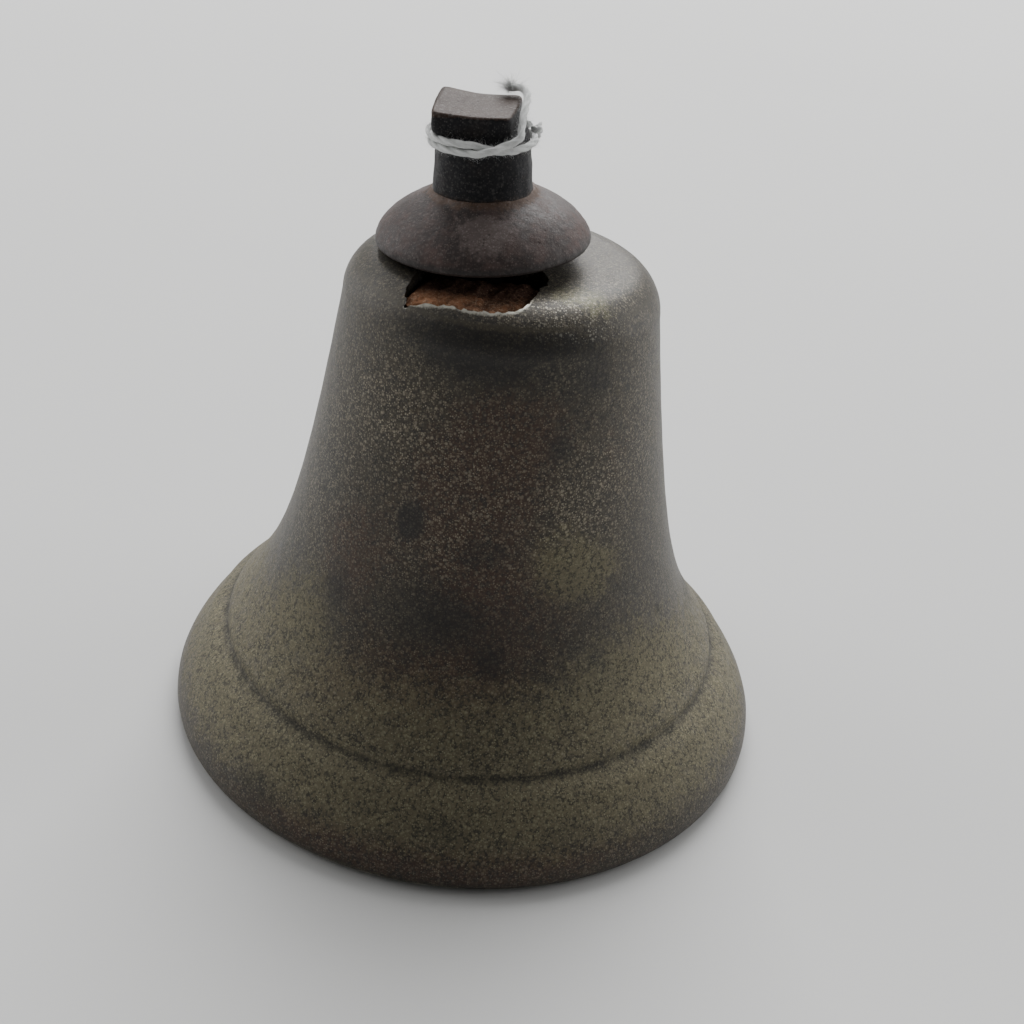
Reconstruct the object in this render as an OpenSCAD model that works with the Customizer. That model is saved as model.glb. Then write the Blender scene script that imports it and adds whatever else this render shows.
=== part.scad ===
// A small cast bronze bell on a forged iron hanger bolt, with a swinging clapper.
// Millimetres. The origin is the centre of the lip's lower face, and +Z is the bell's axis.
// The hanger bolt leans in the crown's worn hole, so its pieces share a leaning frame.

/* [Bell] */
// Radius of the bell at its widest, just above the lip
lip_r = 50; // [49:0.5:52]
// Height of the bell's crown above the lip
bell_h = 82; // [81:0.5:86]
// Radius of the bell where its shoulder begins
shoulder_r = 23.9; // [23:0.1:25]
// How much the waist widens for each millimetre down
waist_taper = 0.14; // [0.1:0.01:0.16]
// Height at which the flare has spread to half its width
flare_z = 18.7; // [17:0.1:20]
// Thickness of the waist's wall
wall = 3.2; // [2.6:0.1:3.6]
// Thickness of the crown
crown_t = 4.5; // [4:0.1:5]
// Depth of the groove above the lip
groove_d = 0.8; // [0.3:0.1:1.2]

/* [Hanger] */
// Angle by which the hanger leans towards -X, in degrees
lean = 4.9; // [4:0.1:5.5]
// Radius of the domed iron flange on the crown
flange_r = 16; // [15:0.5:17]
// Radius of the neck where it stands on the flange
neck_base_r = 7.4; // [7:0.1:7.6]
// Width across the flats of the square head
head_w = 12; // [11.8:0.1:12.2]
// Radius of the shank through the crown
shank_r = 5; // [4.8:0.1:5.2]
// Radius of the plate under the crown
plate_r = 14; // [12:0.5:15]

/* [Clapper] */
// Radius of the cast ball
ball_r = 9.5; // [7:0.5:10]
// Radius of the clapper's rod
rod_r = 3; // [2.5:0.1:3.2]
// Distance from the pin to the middle of the ball
clapper_l = 44; // [42:0.5:44]
// Radius of the cross pin
pin_r = 2; // [1.8:0.1:2.2]

/* [Hidden] */
$fn = 96;
eps = 0.01;

// ---- Bell: outline worked out from the driving sizes ----
shoulder_arc = 7;
shoulder_z = bell_h - shoulder_arc;
flare = lip_r - shoulder_r - waist_taper * (bell_h - 8) + 0.7;
lip_round = 2.5;
lip_arc = 9;
groove_z = 15.6;
bead_z = groove_z - 2.5;
bead_d = 0.35;
inner_crown_z = bell_h - crown_t;
inner_arc = 4;
inner_shoulder_z = inner_crown_z - inner_arc;
bow_t = 3.2;
// Heights of the outline's points: close together round the lip and the moulding
fine_z = [for (z = [3:0.5:20]) z];
coarse_z = [for (z = [22:2:shoulder_z - 1]) z];

function smooth_r(z) = shoulder_r + waist_taper * (bell_h - 8 - z) + flare / (1 + pow(z / flare_z, 2.75));
function bump(z, centre, width) = exp(-pow((z - centre) / width, 2));
function moulding(z) = bead_d * bump(z, bead_z, 1.1) - groove_d * bump(z, groove_z, 0.9);
function lip_side(z) = lip_r - lip_arc + sqrt(pow(lip_arc, 2) - pow(z - lip_round, 2));
function outer_r(z) = z < 8 ? min(lip_side(z), smooth_r(z)) : smooth_r(z) + moulding(z);
function inner_r(z) = smooth_r(z) - wall - bow_t * bump(z, 4, 9);
function arc(cx, cz, r, a0, a1, steps) =
    [for (i = [0:steps]) let (a = a0 + (a1 - a0) * i / steps) [cx + r * cos(a), cz + r * sin(a)]];

// The hole for the shank, and the plan of the piece broken out of the crown
hole_r = 6.3;
hole_x = -3.3;
notch_plan = [
    [-11.5, -5], [-12.6, -12], [-13.8, -16], [-13.4, -17.8], [-10.7, -18.7], [-6.6, -19.6], [-4.2, -20.4],
    [-1, -20.6], [2.1, -20.1], [3.6, -18.4], [4.8, -14.8], [6.6, -9.2], [5, -4]
];

module bell_shell() {
    outer_top_r = outer_r(shoulder_z) - shoulder_arc;
    inner_top_r = inner_r(inner_shoulder_z) - inner_arc;
    outline = concat(
        [[inner_r(0), 0]],
        arc(lip_r - lip_round, lip_round, lip_round, -90, 0, 6),
        [for (z = fine_z) [outer_r(z), z]],
        [for (z = coarse_z) [outer_r(z), z]],
        arc(outer_top_r, shoulder_z, shoulder_arc, 0, 90, 10),
        [[0, bell_h], [0, inner_crown_z]],
        arc(inner_top_r, inner_shoulder_z, inner_arc, 90, 0, 6),
        [for (z = [70:-3:4]) [inner_r(z), z]]
    );
    color("#4d4a3c")
    difference() {
        rotate_extrude() polygon(outline);
        translate([hole_x, 0, inner_crown_z - 1]) cylinder(r = hole_r, h = crown_t + 2);
        translate([0, 0, inner_shoulder_z - 6]) linear_extrude(crown_t + 20) polygon(notch_plan);
    }
}

// ---- Hanger: every piece is drawn along the bolt's own axis, with h = 0 at the flange's rim ----
rim = [-3.75, 0, bell_h + 2.5];
module leaning() {
    translate(rim) rotate([0, -lean, 0]) children();
}
// Height along the bolt's axis of the level z on its side that stands dx from the axis
function along(z, dx) = (z - rim[2] - dx * sin(lean)) / cos(lean);

flange_top_h = 7;
rim_round = 1.05;
rim_out = 3;
boss_r = 9;
bore_gap = 0.1;
plate_t = 2.5;
plate_top_h = along(inner_crown_z - 0.15, plate_r);
plate_low_h = plate_top_h - plate_t;
nut_w = 17;
nut_t = 8;
nut_low_h = plate_low_h - nut_t;
fork_w = 4.4;
pin_h = nut_low_h - 6;
shank_end_h = pin_h - 5.2;

// Dome of the flange: it slopes gently away from the neck's foot and turns down steeply at the rim
function dome_h(t) = flange_top_h * (1 - 0.57 * t) * sqrt(1 - pow(t, 4));
function dome_r(t) = neck_base_r + (flange_r - neck_base_r) * t;
// Underside of the rim: a quarter of a flat ellipse
function rim_point(a) = [flange_r - rim_out + rim_out * cos(a), rim_round * sin(a)];

module crown_flange() {
    outline = concat(
        [[shank_r + bore_gap, -rim_round]],
        [for (a = [-90:15:0]) rim_point(a)],
        [for (t = [0.98:-0.06:0.04]) [dome_r(t), dome_h(t)]],
        [[neck_base_r, flange_top_h], [shank_r + bore_gap, flange_top_h]]
    );
    color("#5b4a45")
    union() {
        leaning() rotate_extrude() polygon(outline);
        // The boss under the flange, trimmed level where it stands on the crown
        difference() {
            leaning() translate([0, 0, -8]) cylinder(r = boss_r, h = 8 - rim_round / 2);
            translate([rim[0] - 20, -20, bell_h - 20]) cube([40, 40, 20]);
            leaning() translate([0, 0, -12]) cylinder(r = shank_r + bore_gap, h = 16);
        }
    }
}

neck_top_h = 15.5;
neck_top_r = 6.75;
head_x = -1;
head_turn = -5.6;
head_front_h = 19;
head_rise = 0.3;
saddle_r = 50;
saddle_x = 3.5;

module head_block() {
    half = head_w / 2;
    rise_angle = atan(head_rise / head_w);
    translate([head_x, 0, 0]) rotate([0, 0, head_turn])
    difference() {
        intersection() {
            translate([-half, -half, neck_top_h - 2]) cube([head_w, head_w, 8]);
            // The corners are forged away towards the neck, round the neck's own axis
            translate([-head_x, 0, 0]) rotate_extrude() polygon([[0, 15], [6.1, 15], [6.75, 15.9], [9.2, 17.8], [10, 19], [10, 23], [0, 23]]);
        }
        // The top rises to the back, and wear has hollowed it towards its right side
        translate([saddle_x, -half, head_front_h]) rotate([rise_angle, 0, 0])
            translate([0, -head_w, saddle_r]) rotate([-90, 0, 0]) cylinder(r = saddle_r, h = 3 * head_w);
    }
}

module hanger_stem() {
    color("#3a3735")
    difference() {
        leaning() union() {
            head_block();
            translate([0, 0, flange_top_h]) cylinder(r1 = neck_base_r, r2 = neck_top_r, h = neck_top_h - flange_top_h);
            translate([0, 0, shank_end_h]) cylinder(r = shank_r, h = flange_top_h - shank_end_h + eps);
        }
        // The slot that makes the shank's end a fork, and the pin's hole through both its ears
        leaning() translate([-2 * shank_r, -fork_w / 2, shank_end_h - 1])
            cube([4 * shank_r, fork_w, nut_low_h - 0.6 - shank_end_h + 1]);
        translate(pivot) rotate([90, 0, 0]) cylinder(r = pin_r, h = 4 * shank_r, center = true);
    }
}

// The crust of rust that has grown up from the plate into the break in the crown
crust_plan = [
    [-10.6, -7], [-11.8, -12], [-13, -16], [-12.7, -16.6], [-10.3, -17.8], [-6.4, -18.7], [-4, -19.5],
    [-1.2, -19.7], [1.6, -19.2], [2.8, -17.9], [4, -14.5], [5.7, -9.3], [4.6, -7]
];
crust_top_z = bell_h - 1.5;
crust_low_z = inner_crown_z - 1.2;

module crown_plate() {
    color("#7a4a2e")
    union() {
        leaning() translate([0, 0, plate_low_h])
        difference() {
            cylinder(r = plate_r, h = plate_t);
            translate([0, 0, -1]) cylinder(r = shank_r + bore_gap, h = plate_t + 2);
        }
        translate([0, 0, crust_low_z]) linear_extrude(crust_top_z - crust_low_z) polygon(crust_plan);
    }
}

module crown_nut() {
    chamfer_r = nut_w * 0.66;
    color("#4a3a32")
    leaning() translate([0, 0, nut_low_h])
    difference() {
        intersection() {
            translate([-nut_w / 2, -nut_w / 2, 0]) cube([nut_w, nut_w, nut_t]);
            cylinder(r1 = chamfer_r - 1, r2 = chamfer_r + nut_t, h = nut_t);
        }
        translate([0, 0, -1]) cylinder(r = shank_r + bore_gap / 2, h = nut_t + 2);
    }
}

// ---- Clapper: it hangs straight down from the pin ----
pivot = [rim[0] - pin_h * sin(lean), 0, rim[2] + pin_h * cos(lean)];
pin_head_r = 3.2;
pin_head_t = 1.5;
washer_r = 3.6;
washer_t = 0.8;
side_gap = 0.1;
pin_tip_y = shank_r + side_gap + washer_t + 3;
split_y = shank_r + side_gap + washer_t + 1.1;
split_r = 0.6;
eye_r = 4.6;
eye_t = 4;
run_gap = 0.06;
ball_nut_w = 9;
ball_nut_t = 4;
ball_low = clapper_l + ball_r * 0.97;

// Turns a cylinder that is drawn along +Z to lie along +Y, with its foot at the given y
module across(y) {
    translate(pivot + [0, y, 0]) rotate([-90, 0, 0]) children();
}

module clapper_pin() {
    color("#57493f")
    difference() {
        union() {
            across(-shank_r - side_gap - pin_head_t) cylinder(r = pin_head_r, h = pin_head_t);
            across(-shank_r - side_gap - eps) cylinder(r = pin_r - 0.02, h = shank_r + side_gap + pin_tip_y);
        }
        translate(pivot + [0, split_y, 0]) cylinder(r = split_r + 0.05, h = 4 * pin_r, center = true);
    }
}

module pin_washer() {
    color("#6b5a4c")
    across(shank_r + side_gap / 2)
    difference() {
        cylinder(r = washer_r, h = washer_t);
        translate([0, 0, -1]) cylinder(r = pin_r + 0.1, h = washer_t + 2);
    }
}

module split_pin() {
    ring_r = 1.1;
    color("#6b5a4c")
    translate(pivot + [0, split_y, 0])
    union() {
        translate([0, 0, -pin_r - 2]) cylinder(r = split_r, h = 2 * pin_r + 3, $fn = 32);
        translate([0, 0, pin_r + 0.7 + ring_r]) rotate([90, 0, 0])
            rotate_extrude($fn = 32) translate([ring_r, 0]) circle(r = split_r, $fn = 24);
        // One leg is bent over under the pin
        translate([0, 0, -pin_r - 2 + split_r / 2]) rotate([-60, 0, 0]) cylinder(r = split_r * 0.8, h = 2, $fn = 24);
    }
}

module clapper_rod() {
    color("#4b423b")
    difference() {
        union() {
            across(-eye_t / 2) cylinder(r = eye_r, h = eye_t);
            translate(pivot - [0, 0, ball_low + ball_nut_t + 0.8])
                cylinder(r = rod_r, h = ball_low + ball_nut_t + 0.8 - 9);
            // The rod is hammered flat into the eye
            translate(pivot - [rod_r, eye_t / 2, 12]) cube([2 * rod_r, eye_t, 10]);
        }
        across(-eye_t) cylinder(r = pin_r + run_gap, h = 2 * eye_t);
    }
}

module clapper_ball() {
    color("#45403a")
    translate(pivot - [0, 0, clapper_l])
    difference() {
        sphere(r = ball_r);
        translate([0, 0, -2 * ball_r]) cylinder(r = rod_r + 0.05, h = 4 * ball_r);
        translate([0, 0, -2 * ball_r]) cylinder(r = ball_nut_w, h = 2 * ball_r - (ball_low - clapper_l));
    }
}

module ball_nut() {
    color("#57493f")
    translate(pivot - [0, 0, ball_low + ball_nut_t])
    difference() {
        cylinder(r = ball_nut_w / 2 / cos(30), h = ball_nut_t, $fn = 6);
        translate([0, 0, -1]) cylinder(r = rod_r + 0.05, h = ball_nut_t + 2);
    }
}

// ---- Tag string: two turns round the neck, crossing at the front, then up over the head ----
string_r = 0.52;
string_sides = 8;
turn_step = 12;
// Angle round the neck against the centre line's radius, and against its height
turn_radius = [
    [30, 7.6], [90, 7.6], [140, 7.75], [180, 7.7], [225, 7.75], [245, 7.7], [262, 7.6], [306, 7.45],
    [580, 7.5], [612, 7.6], [622, 7.9], [630, 8.5], [638, 8.75], [646, 8.6], [654, 8.15], [662, 7.9]
];
turn_height = [
    [30, 15.4], [180, 15.6], [245, 15.65], [262, 15.6], [270, 15.35], [278, 15.05], [286, 14.7], [306, 14.45],
    [345, 14.5], [390, 14.3], [580, 14.45], [622, 14.5], [630, 14.7], [638, 15.05], [646, 15.35], [662, 15.7]
];
// The strand that rises over the head's right side to its top corner
riser = [
    [5.15, -6.4, 16.1], [5.55, -5.6, 16.7], [5.6, -4.5, 17.3], [5.7, -3.2, 18.1], [5.9, -1.5, 18.9],
    [6.1, 0.6, 19.5], [6.15, 2.4, 20], [5.7, 3.8, 20.4], [4.8, 4.7, 20.5], [3.8, 5, 20.4]
];
turns = [
    for (a = [30:turn_step:662]) [lookup(a, turn_radius) * cos(a), lookup(a, turn_radius) * sin(a), lookup(a, turn_height)]
];
string_route = concat(turns, riser);

function unit(v) = v / norm(v);
function heading(p, i) = unit(p[min(i + 1, len(p) - 1)] - p[max(i - 1, 0)]);
// A side direction for each ring, carried along the route with no twist
function carried(side, t) = unit(side - (side * t) * t);
function sides_of(p) = [
    for (i = 0, s = carried([0, 0, 1], heading(p, 0)); i < len(p);
         i = i + 1, s = carried(s, heading(p, min(i, len(p) - 1)))) s
];

module tube(p, r, n) {
    s = sides_of(p);
    rings = [
        for (i = [0:len(p) - 1]) let (t = heading(p, i), u = s[i], w = cross(t, u))
        for (k = [0:n - 1]) p[i] + r * (cos(360 * k / n) * u + sin(360 * k / n) * w)
    ];
    last = (len(p) - 1) * n;
    walls = [
        for (i = [0:len(p) - 2]) for (k = [0:n - 1])
        [i * n + k, i * n + (k + 1) % n, (i + 1) * n + (k + 1) % n, (i + 1) * n + k]
    ];
    ends = [[for (k = [n - 1:-1:0]) k], [for (k = [0:n - 1]) last + k]];
    polyhedron(points = rings, faces = concat([for (f = walls) [f[3], f[2], f[1], f[0]]],
        [for (f = ends) [for (k = [n - 1:-1:0]) f[k]]]), convexity = 10);
}

module tag_string() {
    color("#d8d6cf") leaning() tube(string_route, string_r, string_sides);
}

knot_r = 1.25;
knot_at = [20, 8.3, 15.1];
module string_knot() {
    color("#d8d6cf")
    leaning() rotate([0, 0, knot_at[0]]) translate([knot_at[1], 0, knot_at[2]])
    union() {
        sphere(r = knot_r, $fn = 24);
        translate([0, 1, 0.35]) sphere(r = knot_r * 0.75, $fn = 24);
    }
}

bell_shell();
crown_flange();
hanger_stem();
crown_plate();
crown_nut();
clapper_pin();
pin_washer();
split_pin();
clapper_rod();
clapper_ball();
ball_nut();
tag_string();
string_knot();
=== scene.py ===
# %% [markdown]
# # A small cast bronze bell on a leaning iron hanger
# The lesson builds the looks of a worn bell round a packed, measured model. The model fixes
# every size and every moving part. Each step below adds one real piece or one real finish.

# %% Load the measured model
import math

import bmesh
import bpy
import numpy as np
from mathutils import Matrix


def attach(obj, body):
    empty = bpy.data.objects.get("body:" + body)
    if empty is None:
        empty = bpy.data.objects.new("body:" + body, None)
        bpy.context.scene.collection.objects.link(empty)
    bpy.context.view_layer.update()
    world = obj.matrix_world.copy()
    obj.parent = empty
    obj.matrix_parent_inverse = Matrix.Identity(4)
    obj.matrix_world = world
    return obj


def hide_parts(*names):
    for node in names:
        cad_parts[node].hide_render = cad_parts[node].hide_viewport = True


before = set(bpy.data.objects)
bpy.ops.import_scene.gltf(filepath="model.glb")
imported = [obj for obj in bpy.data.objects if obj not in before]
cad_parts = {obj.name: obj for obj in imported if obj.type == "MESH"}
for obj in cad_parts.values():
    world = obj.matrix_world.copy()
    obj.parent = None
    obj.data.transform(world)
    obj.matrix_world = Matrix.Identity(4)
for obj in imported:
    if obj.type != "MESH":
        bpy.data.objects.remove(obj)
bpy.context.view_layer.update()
MM = 0.001
print("nodes:", sorted(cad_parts))

# %% [markdown]
# The camera stands in front of the bell and looks down on it, a little rolled, as a hand-held
# camera is. It comes first, because it decides which details are seen from close by. Its place
# is in millimetres from the centre of the lip, and its turn is given as three plain angles.

# %% Camera
CAMERA_AT = np.array([0.0, -200.9, 158.4]) * MM
YAW, PITCH, ROLL = (math.radians(a) for a in (1.43, 31.09, 6.36))
LENS_MM, SENSOR_MM = 49.8, 36.0


def camera_axes(yaw, pitch, roll):
    """Right, up and backward directions: forward is a compass turn by yaw and a dip by pitch;
    right and up are then rolled together about it."""
    ahead = np.array([math.sin(yaw) * math.cos(pitch), math.cos(yaw) * math.cos(pitch), -math.sin(pitch)])
    right = np.array([math.cos(yaw), -math.sin(yaw), 0.0])
    up = np.cross(right, ahead)
    rolled = math.cos(roll) * right + math.sin(roll) * up
    return rolled, -math.sin(roll) * right + math.cos(roll) * up, -ahead


def add_camera():
    camera = bpy.data.objects.new("camera", bpy.data.cameras.new("camera"))
    camera.data.lens, camera.data.sensor_width = LENS_MM, SENSOR_MM
    camera.data.clip_start = 0.01
    matrix = np.eye(4)
    matrix[:3, :3] = np.array(camera_axes(YAW, PITCH, ROLL)).T
    matrix[:3, 3] = CAMERA_AT
    camera.matrix_world = Matrix(matrix.tolist())
    bpy.context.scene.collection.objects.link(camera)
    bpy.context.scene.camera = camera
    return camera


print("camera:", add_camera().matrix_world.translation)

# %% [markdown]
# Every new piece is a grid of points worked out with numpy and handed to Blender in one go. The
# helpers here turn a grid into a mesh, close its seam and poles, and give smooth shading that
# breaks only at sharp corners.

# %% Helpers: grids to meshes
SHARP_DEG = 38


def grid_faces(rows, columns, wrap):
    """Quads of a grid: each joins a point, its neighbour along the row, and the two above."""
    r, c = np.meshgrid(np.arange(rows - 1), np.arange(columns if wrap else columns - 1), indexing="ij")
    nxt = (c + 1) % columns
    low, high = r * columns, (r + 1) * columns
    return np.stack([low + c, low + nxt, high + nxt, high + c], -1).reshape(-1, 4)


def new_mesh(name, points, faces):
    mesh = bpy.data.meshes.new(name)
    mesh.from_pydata(np.asarray(points, float).tolist(), [], [list(map(int, f)) for f in faces])
    mesh.update()
    return mesh


def tidy_mesh(mesh, merge=1e-6):
    """Merges doubles, drops empty faces and turns every face outwards."""
    bm = bmesh.new()
    bm.from_mesh(mesh)
    bmesh.ops.remove_doubles(bm, verts=bm.verts, dist=merge)
    bmesh.ops.dissolve_degenerate(bm, dist=merge / 10, edges=bm.edges)
    bmesh.ops.recalc_face_normals(bm, faces=bm.faces)
    bm.to_mesh(mesh)
    bm.free()
    mesh.shade_smooth()
    mesh.set_sharp_from_angle(angle=math.radians(SHARP_DEG))


def add_piece(name, points, faces, merge=1e-6):
    mesh = new_mesh(name, points, faces)
    tidy_mesh(mesh, merge)
    piece = bpy.data.objects.new(name, mesh)
    bpy.context.scene.collection.objects.link(piece)
    return piece


def revolve(profile, around=256, waves=None):
    """A profile of (radius, height) rows turned about Z: x = r cos a, y = r sin a, z = h."""
    a = np.linspace(0, 2 * np.pi, around, endpoint=False)
    r, z = profile[:, :1] * np.ones(around), profile[:, 1:] * np.ones(around)
    if waves is not None:
        r = r + waves(a[None, :], z)
    return np.stack([r * np.cos(a), r * np.sin(a), z], -1).reshape(-1, 3)


def spaced(outline, step):
    """The same outline with points about step apart, measured along it."""
    outline = np.asarray(outline, float)
    along = np.r_[0, np.cumsum(np.hypot(*np.diff(outline, axis=0).T))]
    at = np.linspace(0, along[-1], max(2, int(along[-1] / step)) + 1)
    return np.stack([np.interp(at, along, outline[:, k]) for k in (0, 1)], -1)


def arc(centre, radius, start, end, steps=8):
    """Points on a circle's arc: centre plus radius times (cos, sin) of each angle."""
    a = np.radians(np.linspace(start, end, steps + 1))
    return np.stack([centre[0] + radius * np.cos(a), centre[1] + radius * np.sin(a)], -1)


def smoothstep(low, high, x):
    """0 below low, 1 above high, and the curve 3t^2 - 2t^3 between."""
    t = np.clip((x - low) / (high - low), 0, 1)
    return t * t * (3 - 2 * t)


def soft_noise(seed, count=24, low=1.0, high=4.0):
    """A smooth random field: a sum of sine waves with random directions and phases."""
    rng = np.random.default_rng(seed)
    direction = rng.normal(size=(count, 3))
    direction *= (rng.uniform(low, high, count) / np.linalg.norm(direction, axis=1))[:, None]
    phase = rng.uniform(0, 2 * np.pi, count)

    def field(points):
        return np.sin(points @ direction.T + phase).sum(-1) / math.sqrt(count / 2)

    return field


def apply_boolean(piece, cutter):
    """Cuts one closed solid out of another and keeps the result as the piece's own mesh."""
    cut = piece.modifiers.new("cut", "BOOLEAN")
    cut.operation, cut.solver, cut.object = "DIFFERENCE", "EXACT", cutter
    result = bpy.data.meshes.new_from_object(piece.evaluated_get(bpy.context.evaluated_depsgraph_get()))
    piece.modifiers.clear()
    piece.data = result
    bpy.data.objects.remove(cutter)
    return piece


def set_attribute(piece, name, values):
    layer = piece.data.attributes.new(name, "FLOAT", "POINT")
    layer.data.foreach_set("value", np.asarray(values, np.float32))


def points_of(piece):
    co = np.zeros(len(piece.data.vertices) * 3)
    piece.data.vertices.foreach_get("co", co)
    return co.reshape(-1, 3)


# %% [markdown]
# The hanger's pieces share a leaning frame: the bolt tips to the left in the crown's worn hole.
# The helper turns points that are drawn along the bolt's own axis to where they belong.

# %% The leaning frame of the hanger
LEAN = math.radians(4.9)
RIM = np.array([-3.75, 0.0, 84.5])


def leaning(points):
    """x' = x cos(lean) - h sin(lean), z' = x sin(lean) + h cos(lean), moved to the rim, in metres."""
    x, y, h = np.asarray(points, float).T
    c, s = math.cos(LEAN), math.sin(LEAN)
    turned = np.stack([x * c - h * s, y, x * s + h * c], -1)
    return (turned + RIM) * MM


# %% [markdown]
# The tag string is white cotton, three threads twisted together, tied twice round the neck and
# led up over the head's corner. It is held all the way, so it follows a fixed route: two turns
# given by angle, radius and height, then the points of the strand that rises. A twisted yarn is a
# three-lobed outline carried along that route while it turns.

# %% The tag string's route
STRING_D = 1.1
TURN_RADIUS = [
    (30, 7.6), (90, 7.6), (140, 7.75), (180, 7.7), (225, 7.75), (245, 7.7), (262, 7.6), (306, 7.45),
    (580, 7.5), (612, 7.6), (622, 7.9), (630, 8.5), (638, 8.75), (646, 8.6), (654, 8.15), (662, 7.9),
]
TURN_HEIGHT = [
    (30, 15.4), (180, 15.6), (245, 15.65), (262, 15.6), (270, 15.35), (278, 15.05), (286, 14.7), (306, 14.45),
    (345, 14.5), (390, 14.3), (580, 14.45), (622, 14.5), (630, 14.7), (638, 15.05), (646, 15.35), (662, 15.7),
]
RISER = [
    (5.15, -6.4, 16.1), (5.55, -5.6, 16.7), (5.6, -4.5, 17.3), (5.7, -3.2, 18.1), (5.9, -1.5, 18.9),
    (6.1, 0.6, 19.5), (6.15, 2.4, 20), (5.7, 3.8, 20.4), (4.8, 4.7, 20.5), (3.8, 5, 20.4),
]
TURN_STEP = 12


def string_route():
    """Turns: (r cos a, r sin a, h) with r and h read off by angle; then the rising strand."""
    a = np.arange(TURN_RADIUS[0][0], TURN_RADIUS[-1][0] + 1, TURN_STEP, dtype=float)
    r = np.interp(a, *np.array(TURN_RADIUS).T)
    h = np.interp(a, *np.array(TURN_HEIGHT).T)
    turns = np.stack([r * np.cos(np.radians(a)), r * np.sin(np.radians(a)), h], -1)
    return np.vstack([turns, RISER])


def smooth_path(points, step):
    """A Catmull-Rom curve through the points, then resampled to even steps."""
    p = np.vstack([2 * points[0] - points[1], points, 2 * points[-1] - points[-2]])
    t = np.linspace(0, 1, 8, endpoint=False)[:, None, None]
    p0, p1, p2, p3 = p[:-3], p[1:-2], p[2:-1], p[3:]
    square, cube = 2 * p0 - 5 * p1 + 4 * p2 - p3, 3 * p1 - p0 - 3 * p2 + p3
    curve = 0.5 * (2 * p1 + (p2 - p0) * t + square * t ** 2 + cube * t ** 3)
    curve = np.vstack([curve.transpose(1, 0, 2).reshape(-1, 3), points[-1]])
    along = np.r_[0, np.cumsum(np.linalg.norm(np.diff(curve, axis=0), axis=1))]
    at = np.linspace(0, along[-1], int(along[-1] / step) + 1)
    return np.stack([np.interp(at, along, curve[:, k]) for k in range(3)], -1)


def carried_frames(path):
    """Two side directions for each point: the first is carried along with no twist of its own."""
    ahead = np.gradient(path, axis=0)
    ahead /= np.linalg.norm(ahead, axis=1)[:, None]
    side = np.zeros_like(path)
    side[0] = np.cross(ahead[0], [0.3, 0.2, 1.0])
    side[0] /= np.linalg.norm(side[0])
    for i in range(1, len(path)):
        s = side[i - 1] - (side[i - 1] @ ahead[i]) * ahead[i]
        side[i] = s / np.linalg.norm(s)
    return ahead, side, np.cross(ahead, side)


def tube(path, radius, sides=12, lobes=0, lobe_depth=0.0, twist_mm=0.0):
    """A tube: centre + r (cos b u + sin b w), where r dips lobes times round the outline and the
    outline turns once every twist_mm along the path. Both ends close to a point."""
    _, u, w = carried_frames(path)
    along = np.r_[0, np.cumsum(np.linalg.norm(np.diff(path, axis=0), axis=1))]
    b = np.linspace(0, 2 * np.pi, sides, endpoint=False)
    turn = 2 * np.pi * along[:, None] / twist_mm if twist_mm else 0.0
    dip = np.abs(np.cos(lobes * (b[None, :] - turn) / 2)) if lobes else 1.0
    full = np.broadcast_to(np.asarray(radius, float), (len(path),))[:, None]
    r = full * (1 - lobe_depth + lobe_depth * dip)
    across = np.cos(b)[None, :, None] * u[:, None] + np.sin(b)[None, :, None] * w[:, None]
    rings = path[:, None] + r[..., None] * across
    ends = [np.repeat(path[:1, None], sides, 1), np.repeat(path[-1:, None], sides, 1)]
    grid = np.vstack([ends[0], rings, ends[1]])
    return grid.reshape(-1, 3), grid_faces(len(grid), sides, True)


ROUTE = smooth_path(string_route(), 0.16)

# %% The string's yarn, loose fibres, frayed end and knot
PLY_TWIST_MM = 2.6
FUZZ_COUNT, TUFT_COUNT = 5200, 520


def fibres(roots, heads, lengths, curl, seed, radius=0.014):
    """Many short hairs in one mesh: each bends from its root along a random arc, and is a
    three-sided tube that thins to its tip."""
    rng = np.random.default_rng(seed)
    n, t = len(roots), np.linspace(0, 1, 7)
    bend = rng.normal(size=(n, 3)) * curl
    s = t[None, :, None]
    line = roots[:, None] + lengths[:, None, None] * (s * heads[:, None] + s ** 2 * bend[:, None])
    ahead = np.gradient(line, axis=1)
    ahead /= np.linalg.norm(ahead, axis=2)[..., None]
    u = np.cross(ahead, [0.31, 0.77, 0.55])
    u /= np.linalg.norm(u, axis=2)[..., None]
    w = np.cross(ahead, u)
    b = np.arange(3) * 2 * np.pi / 3
    r = radius * (1 - 0.75 * t)[None, :, None, None]
    cos_b, sin_b = np.cos(b)[None, None, :, None], np.sin(b)[None, None, :, None]
    rings = line[:, :, None] + r * (cos_b * u[:, :, None] + sin_b * w[:, :, None])
    cell = grid_faces(len(t), 3, True)
    faces = (cell[None] + (np.arange(n) * len(t) * 3)[:, None, None]).reshape(-1, 4)
    caps = np.arange(n)[:, None] * len(t) * 3
    ends = np.vstack([caps + [2, 1, 0], caps + (len(t) - 1) * 3 + [0, 1, 2]])
    return rings.reshape(-1, 3), [list(f) for f in faces] + [list(f) for f in ends]


def add_fibres(name, data):
    piece = bpy.data.objects.new(name, new_mesh(name, leaning(data[0]), data[1]))
    piece.data.shade_smooth()
    bpy.context.scene.collection.objects.link(piece)
    return piece


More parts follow.
